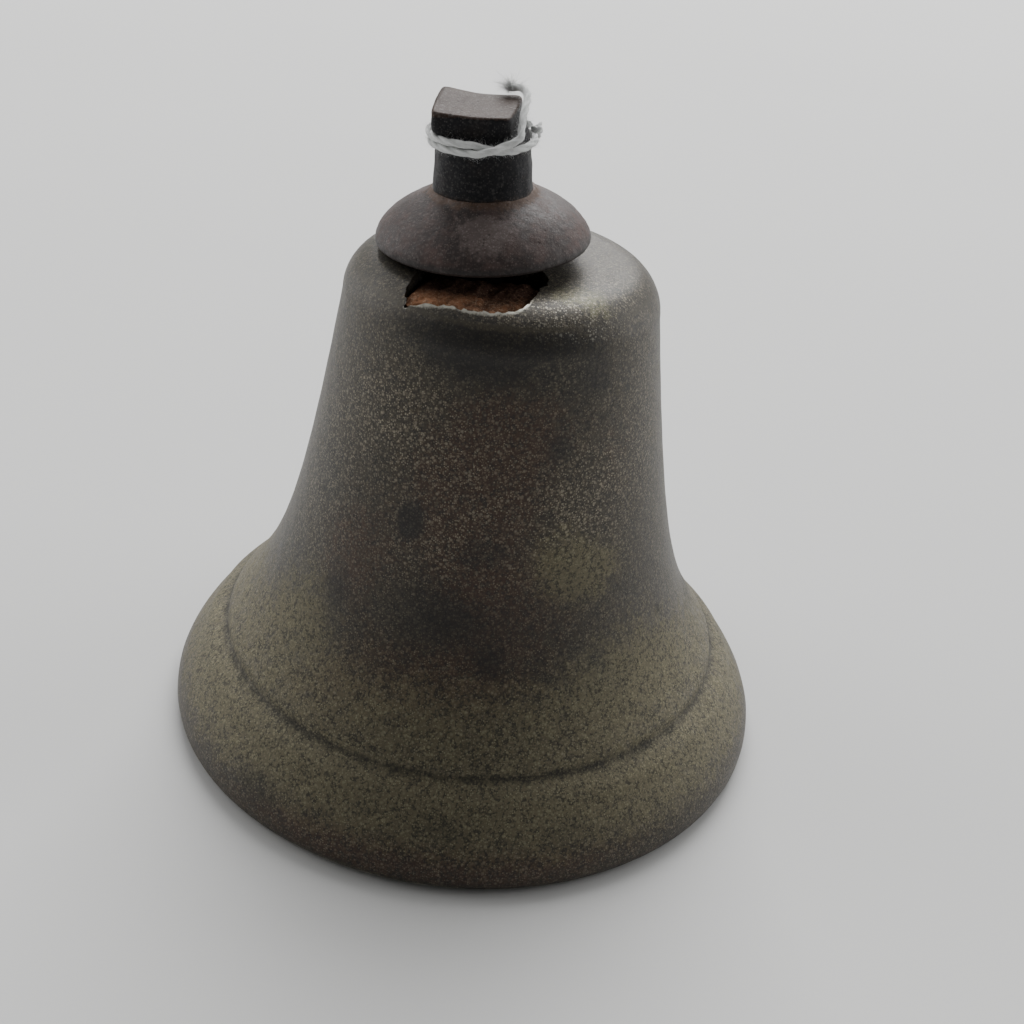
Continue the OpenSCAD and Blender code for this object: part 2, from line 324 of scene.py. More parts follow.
def make_string():
    points, faces = tube(ROUTE, STRING_D / 2, 24, 3, 0.34, PLY_TWIST_MM * 3)
    yarn = add_piece("tag_string_yarn", leaning(points), faces)
    ahead, u, w = carried_frames(ROUTE)
    rng = np.random.default_rng(11)
    at = rng.integers(2, len(ROUTE) - 2, FUZZ_COUNT)
    b = rng.uniform(0, 2 * np.pi, FUZZ_COUNT)[:, None]
    out = np.cos(b) * u[at] + np.sin(b) * w[at]
    heads = out * 0.8 + ahead[at] * rng.normal(size=(FUZZ_COUNT, 1))
    fuzz = fibres(ROUTE[at] + out * STRING_D * 0.36, heads, rng.uniform(0.12, 0.5, FUZZ_COUNT), 0.9, 12)
    end = ROUTE[-1]
    spread = rng.normal(size=(TUFT_COUNT, 3)) * [0.7, 0.6, 0.45] + [-0.5, 0.25, 0.2]
    tuft_roots = end + rng.normal(size=(TUFT_COUNT, 3)) * 0.22
    tuft_lengths = rng.uniform(0.4, 1.5, TUFT_COUNT)
    tuft = fibres(tuft_roots, spread, tuft_lengths, 0.5, 13, 0.026)
    return yarn, add_fibres("tag_string_fuzz", fuzz), add_fibres("tag_string_tuft", tuft)


KNOT_ANGLE, KNOT_R, KNOT_H = math.radians(20), 8.15, 15.05


def make_knot():
    """An overhand knot: the closed trefoil curve, squeezed to the size of the knot, plus its two
    short tails."""
    t = np.linspace(0, 2 * np.pi, 90)
    trefoil = [np.sin(t) + 2 * np.sin(2 * t), np.cos(t) - 2 * np.cos(2 * t), -1.2 * np.sin(3 * t)]
    curl = np.stack(trefoil, -1) * 0.19
    points, faces = tube(curl, STRING_D * 0.4, 12, 3, 0.25, PLY_TWIST_MM * 2)
    tails = []
    for lean_out, drop in ((0.5, -1.1), (0.7, 0.8)):
        s = np.linspace(0, 1, 16)[:, None]
        tails.append(s * [lean_out, 0.6, drop] + s ** 2 * [0.2, 0.5, -0.3])
    parts, offset = [(points, faces)], 0
    parts += [tube(tail, STRING_D * 0.36 * np.linspace(1, 0.75, 16), 12, 3, 0.25, 8) for tail in tails]
    all_points, all_faces = [], []
    for p, f in parts:
        all_points.append(p)
        all_faces.append(f + offset)
        offset += len(p)
    p = np.vstack(all_points)
    c, s = math.cos(KNOT_ANGLE), math.sin(KNOT_ANGLE)
    x, y, h = p[:, 0] + KNOT_R, p[:, 1], p[:, 2] + KNOT_H
    placed = np.stack([c * x - s * y, s * x + c * y, h], -1)
    return add_piece("tag_string_knot", leaning(placed), np.vstack(all_faces))


yarn, fuzz, tuft = make_string()
knot = make_knot()
for piece in (yarn, fuzz, tuft, knot):
    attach(piece, "bell")
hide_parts("tag_string")
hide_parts("string_knot")
print("string faces:", len(yarn.data.polygons), "fibres:", FUZZ_COUNT + TUFT_COUNT)

# %% [markdown]
# The bell is one bronze casting. Its outline is a waist that widens slowly, a flare that spreads
# faster and faster, a shallow groove over a faint bead, and a rounded lip. Sand casting and a
# century of knocks leave it slightly uneven, so the turned surface gets low, soft waves.

# %% Outline of the bell
LIP_R, BELL_H, SHOULDER_R = 50.0, 82.0, 23.9
TAPER, FLARE_Z, WALL, CROWN_T = 0.14, 18.7, 3.2, 4.5
FLARE_POWER, GROOVE_Z, GROOVE_D, BEAD_D = 2.75, 15.6, 0.8, 0.35
LIP_ROUND, LIP_ARC, SHOULDER_ARC, INNER_ARC, BOW_T = 2.5, 9.0, 7.0, 4.0, 3.2
FLARE = LIP_R - SHOULDER_R - TAPER * (BELL_H - 8) + 0.7


def smooth_r(z):
    """Waist radius + taper times the drop + flare / (1 + (z / flare height)^power)."""
    return SHOULDER_R + TAPER * (BELL_H - 8 - z) + FLARE / (1 + (np.maximum(z, 0) / FLARE_Z) ** FLARE_POWER)


def outer_r(z):
    """The smooth outline with the bead and groove as two bell curves, and the lip's own arc."""
    lip_side = LIP_R - LIP_ARC + np.sqrt(np.maximum(LIP_ARC ** 2 - (z - LIP_ROUND) ** 2, 0))
    bead = BEAD_D * np.exp(-((z - GROOVE_Z + 2.5) / 1.1) ** 2)
    groove = GROOVE_D * np.exp(-((z - GROOVE_Z) / 0.9) ** 2)
    return np.where(z < 8, np.minimum(lip_side, smooth_r(z)), smooth_r(z) + (bead - groove))


def inner_r(z):
    """The smooth outline less the wall, which thickens to the sound bow near the lip."""
    return smooth_r(z) - WALL - BOW_T * np.exp(-((z - 4) / 9) ** 2)


def bell_outline():
    shoulder_z, inner_z = BELL_H - SHOULDER_ARC, BELL_H - CROWN_T - INNER_ARC
    up, down = np.linspace(LIP_ROUND, shoulder_z, 400), np.linspace(inner_z, 0, 120)
    outer = np.vstack([
        [inner_r(0) + 0.3, 0.0],
        arc((LIP_R - LIP_ROUND, LIP_ROUND), LIP_ROUND, -90, 0),
        np.stack([outer_r(up), up], -1)[1:],
        arc((outer_r(shoulder_z) - SHOULDER_ARC, shoulder_z), SHOULDER_ARC, 0, 90, 24)[1:],
        [0.0, BELL_H],
    ])
    inner = np.vstack([
        [0.0, BELL_H - CROWN_T],
        arc((inner_r(inner_z) - INNER_ARC, inner_z), INNER_ARC, 90, 0, 10),
        np.stack([inner_r(down), down], -1)[1:-3],
        [inner_r(0.6), 0.6],
        [inner_r(0) + 0.3, 0.0],
    ])
    return np.vstack([spaced(outer, 0.62), spaced(inner, 1.3)])


# %% The bell's casting, with its hole and its broken crown
HOLE_R, HOLE_X = 6.3, -3.3
NOTCH_PLAN = np.array([
    (-11.5, -5), (-12.6, -12), (-13.8, -16), (-13.4, -17.8), (-10.7, -18.7), (-6.6, -19.6), (-4.2, -20.4),
    (-1, -20.6), (2.1, -20.1), (3.6, -18.4), (4.8, -14.8), (6.6, -9.2), (5, -4), (-11.5, -5),
])


def casting_waves(angle, z):
    """Radial unevenness of the casting, a few hundredths of a millimetre to a tenth."""
    slow = 0.05 * np.sin(3 * angle + 0.06 * z) + 0.04 * np.sin(5 * angle - 0.11 * z + 1)
    fine = 0.025 * np.sin(17 * angle + 0.35 * z) * np.sin(0.5 * z + 9 * angle)
    return (slow + fine) * smoothstep(0.5, 4, z) * smoothstep(BELL_H, BELL_H - 3, z)


def rough_prism(plan, low, high, rough, seed):
    """A prism whose walls are broken metal: the plan's edge carried up, pushed about by noise."""
    edge = spaced(plan, 0.42)[:-1]
    z = np.arange(low, high, 0.45)
    across = np.broadcast_to(edge[None], (len(z), len(edge), 2))
    upright = np.broadcast_to(z[:, None, None], (len(z), len(edge), 1))
    grid = np.concatenate([across, upright], -1)
    push = np.stack([soft_noise(seed, 40, 1.0, 6.0)(grid), soft_noise(seed + 1, 40, 1.0, 6.0)(grid)], -1)
    grid = np.concatenate([grid[..., :2] + rough * push, grid[..., 2:]], -1)
    faces = [list(f) for f in grid_faces(len(z), len(edge), True)]
    last = (len(z) - 1) * len(edge)
    faces += [list(range(len(edge)))[::-1], list(range(last, last + len(edge)))]
    return add_piece("notch_cutter", grid.reshape(-1, 3) * MM, faces)


def make_bell():
    profile = bell_outline()
    points = revolve(profile, 320, casting_waves)
    bell = add_piece("bell_casting", points * MM, grid_faces(len(profile), 320, True))
    apply_boolean(bell, rough_prism(NOTCH_PLAN, BELL_H - 12, BELL_H + 4, 0.16, 5))
    bore = revolve(np.array([(0, 70), (HOLE_R, 70), (HOLE_R, 90), (0, 90.0)]), 64) + [HOLE_X, 0, 0]
    apply_boolean(bell, add_piece("hole_cutter", bore * MM, grid_faces(4, 64, True)))
    tidy_mesh(bell.data, 2e-6)
    return bell


bell = make_bell()
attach(bell, "bell")
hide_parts("bell_shell")
print("bell faces:", len(bell.data.polygons))

# %% [markdown]
# The iron flange is a thick domed washer. Its top slopes down from the neck's foot and turns over
# steeply into the rim, and a boss below stands on the crown. It was forged, so it isn't quite round.

# %% The domed flange
FLANGE_R, NECK_BASE_R, NECK_TOP_R, SHANK_R = 16.0, 7.4, 6.75, 5.0
FLANGE_TOP, DOME_SLOPE, RIM_ROUND, RIM_OUT, BOSS_R = 7.0, 0.57, 1.05, 3.0, 9.0


def flange_outline():
    """Boss, underside with a quarter ellipse at the rim, dome h = top (1 - slope t) sqrt(1 - t^4)
    where t runs from the neck to the rim, and a small fillet up to the neck."""
    t = np.linspace(1.0, 0.0, 90)
    dome_r = NECK_BASE_R + (FLANGE_R - NECK_BASE_R) * t
    dome_h = FLANGE_TOP * (1 - DOME_SLOPE * t) * np.sqrt(1 - t ** 4) + 0.45 * np.exp(-(t / 0.07) ** 2)
    under = np.radians(np.linspace(-90, 0, 9))
    outline = np.vstack([
        [0.0, -2.6], [BOSS_R - 0.3, -2.6], [BOSS_R, -2.3], [BOSS_R + 0.4, -RIM_ROUND],
        np.stack([FLANGE_R - RIM_OUT + RIM_OUT * np.cos(under), RIM_ROUND * np.sin(under)], -1),
        np.stack([dome_r, dome_h], -1)[1:], [SHANK_R, FLANGE_TOP], [0.0, FLANGE_TOP],
    ])
    return spaced(outline, 0.3)


def forged(points, amount, seed, low=0.15, high=0.9):
    """Moves points outwards and inwards by a soft noise, as hammer and rust leave a surface."""
    centre = points.mean(0) * [1, 1, 0] + points * [0, 0, 1]
    out = points - centre
    out /= np.maximum(np.linalg.norm(out, axis=1), 1e-6)[:, None]
    return points + out * (amount * soft_noise(seed, 60, low, high)(points))[:, None]


def make_flange():
    profile = flange_outline()
    points = forged(revolve(profile, 200), 0.07, 21)
    points = forged(points, 0.025, 22, 2.0, 5.0)
    return add_piece("domed_flange", leaning(points), grid_faces(len(profile), 200, True))


flange = make_flange()
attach(flange, "bell")
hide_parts("crown_flange")
print("flange faces:", len(flange.data.polygons))

# %% [markdown]
# The hanger is one forging. Its round neck turns into a square head, so each level of the side is
# a circle that becomes a rounded square. The top is hollowed like a saddle by years of hanging.

# %% The neck and the square head
HEAD_HALF, HEAD_X, HEAD_TURN, HEAD_WIDEN = 5.9, -1.0, math.radians(-5.6), 0.028
HEAD_FRONT_H, HEAD_RISE, SADDLE_X = 19.0, 0.3, 3.5
NECK_TOP_H, EDGE_ROUND, SQUARENESS = 15.5, 0.6, 10.0


def head_top(x, y):
    """Height of the head's top: it rises to the back and has a worn hollow whose lowest line is
    near the right side, so the back left corner stands highest."""
    back = np.clip((y + HEAD_HALF) / (2 * HEAD_HALF), 0, 1)
    hollow = (x - SADDLE_X) ** 2 * (0.004 + 0.0085 * back)
    return HEAD_FRONT_H + HEAD_RISE * back + hollow


def side_radius(angle, h):
    """Centre line distance of the side: a circle below, a rounded square above, blended by height."""
    right = np.clip(np.cos(angle), 0, 1) ** 2
    s = smoothstep(NECK_TOP_H - 0.2 - 0.8 * right, NECK_TOP_H + 1.2 + 2.6 * right, h)
    up = np.clip((h - FLANGE_TOP) / (NECK_TOP_H - FLANGE_TOP), 0, 1)
    circle = NECK_BASE_R + (NECK_TOP_R - NECK_BASE_R) * up
    q = angle - HEAD_TURN
    powers = np.abs(np.cos(q)) ** SQUARENESS + np.abs(np.sin(q)) ** SQUARENESS
    square = HEAD_HALF / powers ** (1 / SQUARENESS)
    square = square * (1 + HEAD_WIDEN * np.sin(angle) * np.abs(np.cos(angle)) * 2)
    return circle * (1 - s) + square * s, HEAD_X * s


def make_stem():
    a = np.linspace(0, 2 * np.pi, 220, endpoint=False)
    corner, _ = side_radius(a, np.full_like(a, 18.0))
    top_edge = head_top(corner * np.cos(a), corner * np.sin(a))
    rows = []
    for t in np.linspace(0, 1, 60):
        h = FLANGE_TOP + t * (top_edge - EDGE_ROUND - FLANGE_TOP)
        r, shift = side_radius(a, h)
        rows.append(np.stack([r * np.cos(a) + shift, r * np.sin(a), h], -1))
    for bend in np.radians(np.linspace(10, 90, 8)):
        r = corner - EDGE_ROUND * (1 - math.cos(bend))
        h = top_edge - EDGE_ROUND * (1 - math.sin(bend))
        rows.append(np.stack([r * np.cos(a) + HEAD_X, r * np.sin(a), h], -1))
    for t in np.linspace(0.97, 0, 28):
        x, y = t * (corner - EDGE_ROUND) * np.cos(a), t * (corner - EDGE_ROUND) * np.sin(a)
        rows.append(np.stack([x + HEAD_X, y, head_top(x, y)], -1))
    rows.insert(0, rows[0] * [0, 0, 1])
    points = np.vstack(rows)
    points = forged(points, 0.06, 31, 0.2, 0.8)
    points = forged(points, 0.03, 32, 1.5, 4.0)
    return add_piece("neck_and_head", leaning(points), grid_faces(len(rows), 220, True), 1e-5)


stem = make_stem()
print("neck and head faces:", len(stem.data.polygons))

# %% [markdown]
# Below the neck the bolt runs through the crown as a threaded shank. The thread is a real helix:
# the radius dips once for every turn. The end is slotted into a fork for the clapper's eye.

# %% The threaded shank and its fork
PITCH_MM, THREAD_D = 1.6, 0.45
INNER_CROWN_Z, PLATE_R, PLATE_T, NUT_T, FORK_W = 77.5, 14.0, 2.5, 8.0, 4.4
PLATE_TOP_H = (INNER_CROWN_Z - 0.15 - RIM[2] - PLATE_R * math.sin(LEAN)) / math.cos(LEAN)
NUT_LOW_H = PLATE_TOP_H - PLATE_T - NUT_T
PIN_H = NUT_LOW_H - 6
SHANK_END_H = PIN_H - 5.2


def make_shank():
    """r = shank - depth * |2 frac(h / pitch - angle / turn) - 1|, with a chamfer at the end."""
    h = np.arange(SHANK_END_H, FLANGE_TOP - 0.5, 0.2)[:, None]
    a = np.linspace(0, 2 * np.pi, 96, endpoint=False)[None, :]
    tooth = np.abs(2 * ((h / PITCH_MM - a / (2 * np.pi)) % 1) - 1)
    chamfer = 0.7 * smoothstep(SHANK_END_H + 0.8, SHANK_END_H, h)
    r = SHANK_R - THREAD_D * tooth * smoothstep(-4, -6, h) - chamfer
    grid = np.stack([r * np.cos(a), r * np.sin(a), h + 0 * a], -1)
    grid = np.vstack([grid[:1] * [0, 0, 1], grid, grid[-1:] * [0, 0, 1]])
    shank = add_piece("threaded_shank", leaning(grid.reshape(-1, 3)), grid_faces(len(grid), 96, True))
    slot_top = NUT_LOW_H - 0.6
    corners = ((-9, -1), (9, -1), (9, 1), (-9, 1))
    box = np.array([(x, y, z) for z in (SHANK_END_H - 1, slot_top) for x, y in corners], float)
    box[:, 1] *= FORK_W / 2
    sides = [(0, 1, 2, 3), (4, 5, 6, 7), (0, 1, 5, 4), (1, 2, 6, 5), (2, 3, 7, 6), (3, 0, 4, 7)]
    return apply_boolean(shank, add_piece("slot_cutter", leaning(box), sides))


shank = make_shank()
for piece in (stem, shank):
    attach(piece, "bell")
    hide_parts("hanger_stem")
print("shank faces:", len(shank.data.polygons))

# %% [markdown]
# The plate under the crown has rusted for years, so its faces are swollen and pitted and its rim
# is ragged. The nut below it keeps its square shape, with softened corners.

# %% The rusted plate and the square nut
NUT_W, NUT_SQUARENESS = 17.0, 14


def make_plate():
    low, top = PLATE_TOP_H - PLATE_T, PLATE_TOP_H
    hole_r = SHANK_R - 0.4
    outline = spaced([
        (hole_r, low), (PLATE_R - 0.5, low), (PLATE_R, low + 0.5),
        (PLATE_R, top - 0.5), (PLATE_R - 0.5, top), (hole_r, top), (hole_r, low),
    ], 0.32)
    points = revolve(outline, 200)
    near_rim = smoothstep(8, 14, np.hypot(points[:, 0], points[:, 1]))
    ragged = 1 + 0.012 * soft_noise(41, 40, 0.3, 1.6)(points) * near_rim
    points = points * np.stack([ragged, ragged, np.ones_like(ragged)], -1)
    swollen = 0.09 * soft_noise(42, 60, 0.6, 2.6)(points) - 0.08
    points[:, 2] += swollen * np.sign(points[:, 2] - (low + top) / 2)
    return add_piece("rusted_plate", leaning(points), grid_faces(len(outline), 200, True))


CRUST_PLAN = [
    (-11.4, -6.5), (-12.5, -12), (-13.7, -16), (-13.2, -17.4), (-10.3, -18.2), (-6.4, -18.9), (-4, -19.7),
    (-1.2, -19.8), (1.6, -19.3), (2.8, -17.9), (4, -14.5), (5.7, -9.3), (4.6, -6.5), (-11.4, -6.5),
]
CRUST_TOP_Z, CRUST_LOW_Z, CRUST_MIDDLE = 80.5, 76.3, np.array([-3.8, -13.0])


def make_crust():
    """The plan drawn in towards its middle in rings. The ring's height is the top less a rounded
    edge, and the whole top is lifted and sunk by two sizes of noise."""
    edge = spaced(CRUST_PLAN, 0.22)[:-1]
    inward = np.r_[0, 0, np.linspace(0, 1, 44) ** 1.2]
    height = np.r_[CRUST_LOW_Z, CRUST_TOP_Z - 1.1, CRUST_TOP_Z - 0.9 * np.exp(-(inward[2:] / 0.07) ** 1.5)]
    flat = edge[None] + (CRUST_MIDDLE - edge[None]) * inward[:, None, None]
    grid = np.concatenate([flat, np.broadcast_to(height[:, None, None], (*flat.shape[:2], 1))], -1)
    lumps = 0.16 * soft_noise(43, 60, 0.8, 3.0)(grid) + 0.07 * soft_noise(44, 60, 4.0, 9.0)(grid)
    grid[2:, :, 2] += lumps[2:] - 0.1
    grid = np.vstack([np.broadcast_to([*CRUST_MIDDLE, CRUST_LOW_Z], (1, len(edge), 3)), grid])
    return add_piece("rust_crust", grid.reshape(-1, 3) * MM, grid_faces(len(grid), len(edge), True))


def make_nut():
    """A square with rounded corners, its edge lifted into a chamfer at both ends, round a hole.
    Each level is a height and the share of the full width there; share 0 is the hole's own wall."""
    a = np.linspace(0, 2 * np.pi, 160, endpoint=False)
    powers = np.abs(np.cos(a)) ** NUT_SQUARENESS + np.abs(np.sin(a)) ** NUT_SQUARENESS
    square = NUT_W / 2 / powers ** (1 / NUT_SQUARENESS)
    low, top = NUT_LOW_H, NUT_LOW_H + NUT_T
    levels = [
        (low, 0), (low, 0.55), (low, 0.8), (low, 0.93), (low + 0.5, 0.985), (low + 1.2, 1.0),
        (low + 3, 1.0), (low + 5, 1.0), (top - 0.9, 1.0), (top - 0.3, 0.985),
        (top, 0.94), (top, 0.8), (top, 0.55), (top, 0), (low, 0),
    ]
    rows = []
    for h, share in levels:
        r = np.maximum(square * share, SHANK_R - 0.3)
        rows.append(np.stack([r * np.cos(a), r * np.sin(a), np.full_like(a, h)], -1))
    points = forged(np.vstack(rows), 0.05, 51, 0.4, 1.6)
    return add_piece("square_nut", leaning(points), grid_faces(len(rows), 160, True), 1e-5)


plate, crust, nut = make_plate(), make_crust(), make_nut()
for piece, node in ((plate, "crown_plate"), (crust, "crown_plate"), (nut, "crown_nut")):
    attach(piece, "bell")
    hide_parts(node)
print("plate and nut faces:", len(plate.data.polygons), len(nut.data.polygons))

# %% [markdown]
# The finishes are built from nodes. A small wiring helper keeps them readable: it adds a node,
# sets plain numbers and colours on its sockets, and links whatever else it is given.

# %% Helpers: wiring nodes
def wire(tree, kind, inputs=None, **settings):
    made = tree.nodes.new(kind)
    for key, value in settings.items():
        setattr(made, key, value)
    for key, value in (inputs or {}).items():
        socket = made.inputs[key]
        if isinstance(value, bpy.types.NodeSocket):
            tree.links.new(value, socket)
        else:
            socket.default_value = value
    return made


def maths(tree, operation, a, b=0.0, clamp=False):
    return wire(tree, "ShaderNodeMath", {0: a, 1: b}, operation=operation, use_clamp=clamp).outputs[0]


def mixed(tree, amount, a, b):
    """Colour a where the amount is 0 and colour b where it is 1."""
    made = wire(tree, "ShaderNodeMix", {"Factor": amount}, data_type="RGBA", clamp_factor=True)
    for key, value in ((6, a), (7, b)):
        if isinstance(value, bpy.types.NodeSocket):
            tree.links.new(value, made.inputs[key])
        else:
            made.inputs[key].default_value = (*value, 1.0)
    return made.outputs[2]


def ramp(tree, value, low, high):
    """0 below low and 1 above high, with a smooth rise between."""
    inputs = {"Value": value, "From Min": low, "From Max": high}
    return wire(tree, "ShaderNodeMapRange", inputs, interpolation_type="SMOOTHSTEP").outputs["Result"]


def noise(tree, where, size_mm, detail=3.0, rough=0.55):
    """Cloud noise whose lumps are about size_mm across."""
    inputs = {"Vector": where, "Scale": 1 / (size_mm * MM), "Detail": detail, "Roughness": rough}
    return wire(tree, "ShaderNodeTexNoise", inputs).outputs["Fac"]


def attribute(tree, name):
    return wire(tree, "ShaderNodeAttribute", attribute_name=name).outputs["Fac"]


def group_of(name, inputs, outputs, build):
    """A shader node group: build(tree, incoming sockets) returns one socket for each output."""
    tree = bpy.data.node_groups.new(name, "ShaderNodeTree")
    for label, kind, default in inputs:
        socket = tree.interface.new_socket(label, in_out="INPUT", socket_type=kind)
        if default is not None:
            socket.default_value = default
    for label, kind in outputs:
        tree.interface.new_socket(label, in_out="OUTPUT", socket_type=kind)
    given, result = tree.nodes.new("NodeGroupInput"), tree.nodes.new("NodeGroupOutput")
    for socket, made in zip(result.inputs, build(tree, given.outputs)):
        tree.links.new(made, socket)
    return tree


def use_group(tree, group, inputs):
    made = tree.nodes.new("ShaderNodeGroup")
    made.node_tree = group
    for key, value in inputs.items():
        if isinstance(value, bpy.types.NodeSocket):
            tree.links.new(value, made.inputs[key])
        else:
            made.inputs[key].default_value = value
    return made.outputs


def new_material(name, roughness=0.6, metallic=0.0):
    material = bpy.data.materials.new(name)
    material.use_nodes = True
    tree = material.node_tree
    shader = tree.nodes["Principled BSDF"]
    shader.inputs["Roughness"].default_value = roughness
    shader.inputs["Metallic"].default_value = metallic
    where = wire(tree, "ShaderNodeTexCoord").outputs["Object"]
    return material, tree, shader, where


def bumped(tree, shader, height, depth_mm, strength=1.0):
    bump = wire(tree, "ShaderNodeBump", {"Height": height, "Distance": depth_mm * MM, "Strength": strength})
    tree.links.new(bump.outputs["Normal"], shader.inputs["Normal"])


def cover(piece, material):
    piece.data.materials.clear()
    piece.data.materials.append(material)


# %% [markdown]
# Three effects turn up on more than one metal, so each is a group that is built once. Grain is
# the fine speckle of a cast or forged skin. Blotches are soft-edged stains of any size. Pits are
# the small round craters that rust and old patina leave.

# %% Shared effects: grain, blotches and pits
F, V = "NodeSocketFloat", "NodeSocketVector"


def cells_of(tree, where, size):
    """Scattered cells: the distance to the nearest cell's middle, and three chances per cell."""
    cells = wire(tree, "ShaderNodeTexVoronoi", {"Vector": where, "Scale": maths(tree, "DIVIDE", 1.0, size)})
    chances = wire(tree, "ShaderNodeSeparateColor", {0: cells.outputs["Color"]}).outputs
    return cells.outputs["Distance"], chances


def build_grain(tree, given):
    """Round grains of random brightness, in two sizes, where a power makes most of them dark."""
    near, chance = cells_of(tree, given["Vector"], given["Size"])
    far, other = cells_of(tree, given["Vector"], maths(tree, "MULTIPLY", given["Size"], 2.1))
    fine_power = maths(tree, "POWER", chance[0], given["Rarity"])
    fine = maths(tree, "MULTIPLY", fine_power, ramp(tree, near, 0.62, 0.2))
    coarse_power = maths(tree, "POWER", other[1], given["Rarity"])
    coarse = maths(tree, "MULTIPLY", coarse_power, ramp(tree, far, 0.6, 0.15))
    speck = maths(tree, "MAXIMUM", fine, maths(tree, "MULTIPLY", coarse, 0.75))
    fine_lift, coarse_lift = (maths(tree, "MULTIPLY", lift, 0.5) for lift in (chance[1], other[2]))
    return speck, maths(tree, "ADD", fine_lift, coarse_lift)


def build_blotches(tree, given):
    """A cloud noise pushed by another noise, then cut at a level that depends on the cover."""
    size = given["Size"]
    push_scale = maths(tree, "DIVIDE", 2.5, size)
    push = wire(tree, "ShaderNodeTexNoise", {"Vector": given["Vector"], "Scale": push_scale, "Detail": 3.0})
    reach = maths(tree, "MULTIPLY", size, 0.35)
    moved = wire(tree, "ShaderNodeVectorMath", {0: push.outputs["Color"], "Scale": reach}, operation="SCALE")
    inputs = {0: given["Vector"], 1: moved.outputs[0]}
    where = wire(tree, "ShaderNodeVectorMath", inputs, operation="ADD").outputs[0]
    cloud_scale = maths(tree, "DIVIDE", 1.0, size)
    cloud = wire(tree, "ShaderNodeTexNoise", {"Vector": where, "Scale": cloud_scale, "Detail": 5.0})
    level = maths(tree, "SUBTRACT", 0.72, maths(tree, "MULTIPLY", given["Cover"], 0.44))
    mask = ramp(tree, cloud.outputs["Fac"], level, maths(tree, "ADD", level, given["Softness"]))
    return mask, cloud.outputs["Fac"]


def build_pits(tree, given):
    """Craters: the distance to scattered points, kept only close to them and only at some."""
    distance, chance = cells_of(tree, given["Vector"], given["Size"])
    chosen = maths(tree, "LESS_THAN", chance[0], given["Share"])
    return [maths(tree, "MULTIPLY", ramp(tree, distance, 0.42, 0.05), chosen)]


GRAIN = group_of(
    "grain", [("Vector", V, None), ("Size", F, 0.0003), ("Rarity", F, 2.0)],
    [("Speck", F), ("Height", F)], build_grain,
)
BLOTCHES = group_of(
    "blotches", [("Vector", V, None), ("Size", F, 0.01), ("Cover", F, 0.5), ("Softness", F, 0.1)],
    [("Mask", F), ("Cloud", F)], build_blotches,
)
PITS = group_of(
    "pits", [("Vector", V, None), ("Size", F, 0.002), ("Share", F, 0.3)], [("Depth", F)], build_pits,
)
print("shared groups:", GRAIN.name, BLOTCHES.name, PITS.name)

# %% [markdown]
# Old bronze carries its history in patches: near-black under the shoulder and where hands held
# it, red-brown in the middle, olive towards the flare, and pale specks where the skin has rubbed.
# Each patch is an ellipse on the unrolled bell, given by compass angle, height, half-width and
# half-height. Their sums are stored on the mesh, and noise breaks up their edges in the material.

# %% Patches of the patina
DARK = [
    (-8, 77, 32, 4.0, 1.0), (28, 78, 16, 2.5, 0.5), (-21, 50, 5, 3.3, 1.25), (-2, 72, 26, 3.5, 0.45),
    (2, 47, 10, 2.6, 0.75), (-13, 37, 13, 6.5, 0.65), (6, 35.5, 15, 6, 0.5), (23, 62.8, 6, 2.8, 0.75),
    (36, 72.6, 8, 4, 0.7), (-41, 35.5, 6, 5, 0.65), (6, 30, 5, 2.5, 0.6), (-2, 10, 7, 2.5, 0.5),
    (-38, 7, 7, 3.5, 0.6), (22, 9.5, 7, 2.2, 0.45), (60, 40, 5, 4, 0.5), (63, 33, 3, 3, 0.6),
    (130, 55, 20, 9, 0.8), (175, 70, 24, 6, 0.9), (-150, 40, 18, 8, 0.8), (180, 42, 75, 60, 0.35),
    (-105, 62, 14, 9, 0.7), (95, 25, 16, 5, 0.6), (-170, 15, 22, 4, 0.5), (150, 30, 9, 5, 0.6),
]
BROWN = [
    (-3, 55, 24, 15, 1.05), (-8, 27, 30, 6, 0.85), (-36, 21, 14, 5, 0.6), (-38, 42, 14, 9, 0.8),
    (12, 66, 22, 7, 0.6), (10, 38, 22, 8, 0.7), (-5, 5, 42, 3.4, 1.1), (45, 60, 10, 8, 0.4),
    (120, 70, 24, 9, 0.7), (-120, 48, 20, 12, 0.7), (165, 50, 22, 12, 0.7), (-160, 66, 16, 8, 0.6),
]
OLIVE = [
    (32, 43, 16, 5, 1.0), (24, 48, 12, 4, 0.5), (0, 20, 200, 9, 0.85), (-52, 31, 16, 7, 0.6),
    (0, 10, 200, 5, 0.75), (48, 28, 22, 8, 0.5), (140, 40, 22, 8, 0.7), (-140, 24, 40, 7, 0.6),
    (170, 24, 40, 7, 0.6), (-95, 36, 14, 9, 0.5),
]
SPECK = [
    (-34, 66, 20, 8, 0.9), (-14, 60, 26, 9, 0.7), (34, 54, 18, 9, 1.0), (-16, 46, 14, 6, 0.6),
    (12, 50, 24, 7, 0.45), (60, 64, 16, 12, 0.5), (-60, 50, 20, 16, 0.5), (0, 16, 180, 11, 0.8),
    (15, 81.6, 30, 1.8, 1.0), (60, 81.4, 30, 1.6, 0.6), (150, 64, 30, 12, 0.8), (-140, 56, 30, 14, 0.8),
    (100, 50, 20, 12, 0.6),
]


def patches(points_mm, ellipses):
    """Sum of strength * exp(-(d^2)^1.5), where d is the distance in half-widths and half-heights."""
    azimuth = np.degrees(np.arctan2(points_mm[:, 0], -points_mm[:, 1]))
    total = np.zeros(len(points_mm))
    for centre, height, half_wide, half_high, strength in ellipses:
        turn = (azimuth - centre + 180) % 360 - 180
        d = (turn / half_wide) ** 2 + ((points_mm[:, 2] - height) / half_high) ** 2
        total += strength * np.exp(-d ** 1.5)
    return total


